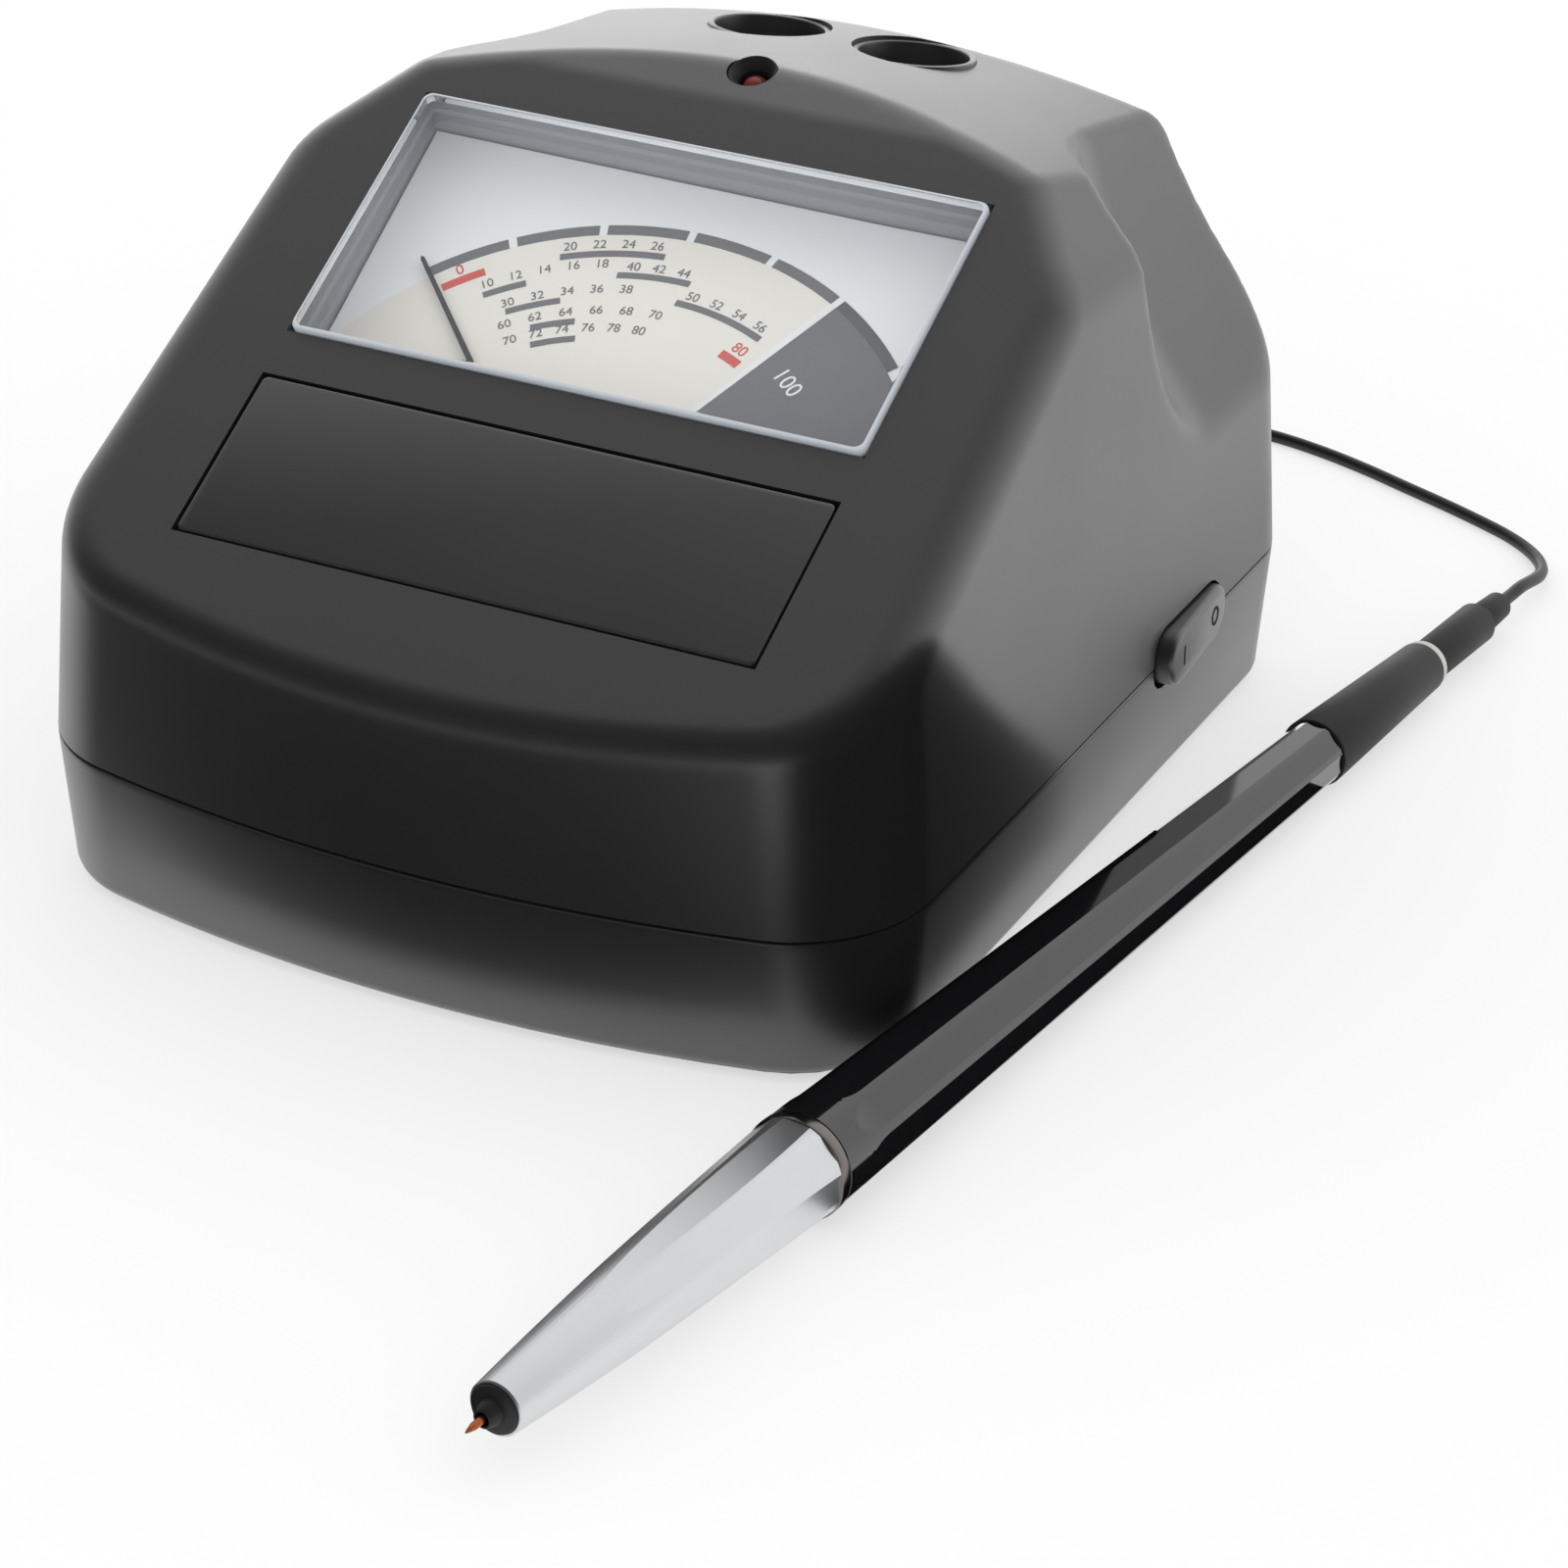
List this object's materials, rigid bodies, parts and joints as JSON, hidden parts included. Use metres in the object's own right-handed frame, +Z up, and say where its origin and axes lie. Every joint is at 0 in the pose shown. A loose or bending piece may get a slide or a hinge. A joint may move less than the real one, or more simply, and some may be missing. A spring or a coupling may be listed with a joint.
{
  "type": "bench gem tester with probe pen",
  "caption": "Counter-top gem tester: a wedge-shaped console with a pointer meter, rocker switch and test wells, and a wired probe pen lying beside it.",
  "frame": {"origin": "centre of the console's footprint, on the counter", "axes": "+Z up, -Y the console's front with the sloping panel, +X to the right, where the switch is and the pen lies"},
  "size_m": [0.1193, 0.2336, 0.0754],
  "materials": {
    "case": "fine matte",
    "panel_plate": "satin gloss",
    "rubber": "matte",
    "steel": "satin",
    "chrome": "polished",
    "dark_metal": "satin",
    "brass": "satin",
    "copper": "satin",
    "magnet": "matte",
    "window": "clear",
    "light_plastic": "matte",
    "card": "matte",
    "black_gloss": "polished",
    "black_matte": "matte",
    "pale": "satin",
    "lamp": "polished",
    "jewel": "polished",
    "board": "satin",
    "cell": "satin",
    "lead": "satin",
    "disc": "polished"
  },
  "bodies": {
    "console": {"base_shell": "case", "upper_shell": "case", "foot_ring": "rubber", "case_screws": "steel", "battery_door": "case", "door_screw": "steel", "batteries": "cell", "battery_contacts": "steel", "circuit_board": "board", "board_parts": "black_matte", "board_screws": "steel", "meter_window": "window", "meter_case": "light_plastic", "meter_screws": "steel", "dial_card": "card", "ring_magnet": "magnet", "iron_core": "magnet", "movement_bridge": "brass", "jewel_bearings": "jewel", "hairspring": "brass", "nameplate": "panel_plate", "ready_lamp": "lamp", "lamp_holder": "black_matte", "test_wells": "black_matte", "test_discs": "disc", "switch_body": "black_matte", "strain_relief": "lead", "lead_from_case": "lead", "lead_coil": "lead", "lead_tie": "rubber", "lead_to_pen": "lead"},
    "switch": {"rocker": "black_matte"},
    "movement": {"pointer": "dark_metal", "moving_coil": "copper", "arbor": "steel"},
    "pen": {"nose_cone": "chrome", "nose_ring": "dark_metal", "barrel": "black_gloss", "sleeve": "black_matte", "sleeve_ring": "pale", "neck": "black_matte", "end_collar": "black_matte", "tip_insulator": "black_matte", "terminal_block": "light_plastic", "inner_lead": "lead", "tip_spring": "steel"},
    "tip": {"tip_carriage": "light_plastic", "probe_tip": "copper"}
  },
  "joints": [
    {"name": "power_switch", "type": "hinge", "parent": "console", "child": "switch", "pos_m": [0.0449, 0.0259, 0.0168], "axis": [0, 0, 1], "range_deg": [-8, 0]},
    {"name": "pointer_swing", "type": "hinge", "parent": "console", "child": "movement", "pos_m": [0, -0.02576, 0.04159], "axis": [0, 0.4695, -0.8829], "range_deg": [0, 88], "stiffness_Nm_per_rad": 0.0002},
    {"name": "pen_lift", "type": "slide", "parent": "console", "child": "pen", "axis": [0, 0, 1], "range_m": [0, 0.06]},
    {"name": "tip_press", "type": "slide", "parent": "pen", "child": "tip", "axis": [0.1132, 0.9934, -0.0158], "range_m": [0, 0.0015], "stiffness_N_per_m": 400, "deforming": ["tip_spring"]}
  ]
}
